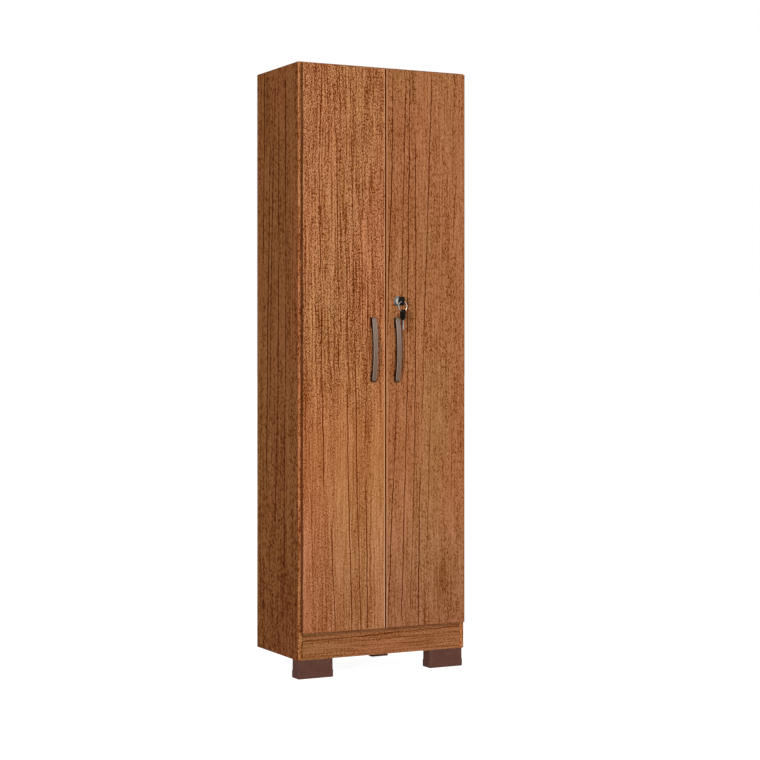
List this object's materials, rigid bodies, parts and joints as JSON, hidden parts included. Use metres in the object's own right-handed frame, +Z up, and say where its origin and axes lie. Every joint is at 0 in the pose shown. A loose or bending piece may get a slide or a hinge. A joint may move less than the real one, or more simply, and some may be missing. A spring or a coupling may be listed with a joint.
{
  "type": "broom cupboard",
  "caption": "Tall narrow two-door broom cupboard in wood-look board on moulded feet, with arched pulls, a cam lock and keys, a top compartment, a broom bay and shelves.",
  "frame": {"origin": "middle of the whole footprint, keys and pulls included, on the floor", "axes": "+X to the right, +Y to the back, +Z up; the doors face -Y"},
  "size_m": [0.5, 0.3282, 1.63],
  "materials": {
    "board_side": "satin wood-look laminate",
    "board_inner": "satin wood-look laminate",
    "board_plinth": "satin wood-look laminate, grain across",
    "board_door": "satin wood-look laminate, grain upright",
    "hardboard": "smooth brown hardboard",
    "strip_plastic": "matt",
    "foot_plastic": "matt moulded",
    "pull_plastic": "satin moulded",
    "key_plastic": "matt moulded",
    "key_steel": "nickel plated",
    "lock_chrome": "polished",
    "lock_plug_metal": "satin",
    "dowel_wood": "raw beech",
    "hinge_steel": "nickel plated",
    "screw_zinc": "zinc plated"
  },
  "bodies": {
    "carcass_body": {"back_joining_strip": "strip_plastic", "back_nails": "screw_zinc", "back_sheet_left": "hardboard", "back_sheet_right": "hardboard", "bottom_panel": "board_inner", "cam_bolts": "screw_zinc", "cam_locks": "screw_zinc", "divider_panel": "board_inner", "fixed_shelf": "board_inner", "foot_front_left": "foot_plastic", "foot_front_right": "foot_plastic", "foot_rear_left": "foot_plastic", "foot_rear_right": "foot_plastic", "foot_screws": "screw_zinc", "hinge_arms_left": "hinge_steel", "hinge_arms_right": "hinge_steel", "hinge_plates": "hinge_steel", "hinge_screws": "screw_zinc", "keeper_screws": "screw_zinc", "lock_keeper": "screw_zinc", "plinth_board": "board_plinth", "rear_rail": "board_inner", "shelf_lower": "board_inner", "shelf_middle": "board_inner", "shelf_pins": "screw_zinc", "shelf_upper": "board_inner", "side_panel_left": "board_side", "side_panel_right": "board_side", "top_panel": "board_inner", "wood_dowels": "dowel_wood"},
    "door_left_body": {"door_left": "board_door", "pull_left": "pull_plastic", "pull_screws_left": "screw_zinc", "hinge_pins_left": "hinge_steel", "cup_screws_left": "screw_zinc", "hinge_cup_left_1": "hinge_steel", "hinge_cup_left_2": "hinge_steel", "hinge_cup_left_3": "hinge_steel", "bolt_housing": "screw_zinc", "bolt_screws": "screw_zinc"},
    "door_right_body": {"door_right": "board_door", "pull_right": "pull_plastic", "pull_screws_right": "screw_zinc", "hinge_pins_right": "hinge_steel", "cup_screws_right": "screw_zinc", "hinge_cup_right_1": "hinge_steel", "hinge_cup_right_2": "hinge_steel", "hinge_cup_right_3": "hinge_steel", "lock_housing": "lock_chrome", "lock_nut": "lock_chrome"},
    "bolt_body": {"bolt_rod": "screw_zinc"},
    "plug_body": {"lock_plug": "lock_plug_metal", "lock_cam": "screw_zinc", "lock_cam_screw": "screw_zinc"},
    "key_body": {"key_head": "key_plastic", "key_blade": "key_steel"},
    "ring_body": {"key_ring": "key_steel"},
    "spare_key_body": {"spare_key_head": "key_plastic", "spare_key_blade": "key_steel"}
  },
  "joints": [
    {"name": "left_door_hinge", "type": "hinge", "parent": "carcass_body", "child": "door_left_body", "pos_m": [-0.2375, -0.11935, 0.874], "axis": [0, 0, -1], "range_deg": [0, 95]},
    {"name": "right_door_hinge", "type": "hinge", "parent": "carcass_body", "child": "door_right_body", "pos_m": [0.2375, -0.11935, 0.874], "axis": [0, 0, 1], "range_deg": [0, 95]},
    {"name": "bolt_slide", "type": "slide", "parent": "door_left_body", "child": "bolt_body", "axis": [0, 0, 1], "range_m": [0, 0.01]},
    {"name": "lock_turn", "type": "hinge", "parent": "door_right_body", "child": "plug_body", "pos_m": [0.038, -0.12585, 1.001], "axis": [0, -1, 0], "range_deg": [0, 90]},
    {"name": "key_pull", "type": "slide", "parent": "plug_body", "child": "key_body", "axis": [0, -1, 0], "range_m": [0, 0.027]},
    {"name": "ring_swing", "type": "hinge", "parent": "key_body", "child": "ring_body", "pos_m": [0.038, -0.15265, 1.001], "axis": [-1, 0, 0], "range_deg": [0, 45]},
    {"name": "spare_key_hang", "type": "hinge", "parent": "ring_body", "child": "spare_key_body", "pos_m": [0.038, -0.15265, 0.9869], "axis": [0, -1, 0], "range_deg": [-90, 0]}
  ],
  "couplings": [
    {"joint": "spare_key_hang", "follows": "lock_turn", "ratio": -1}
  ]
}
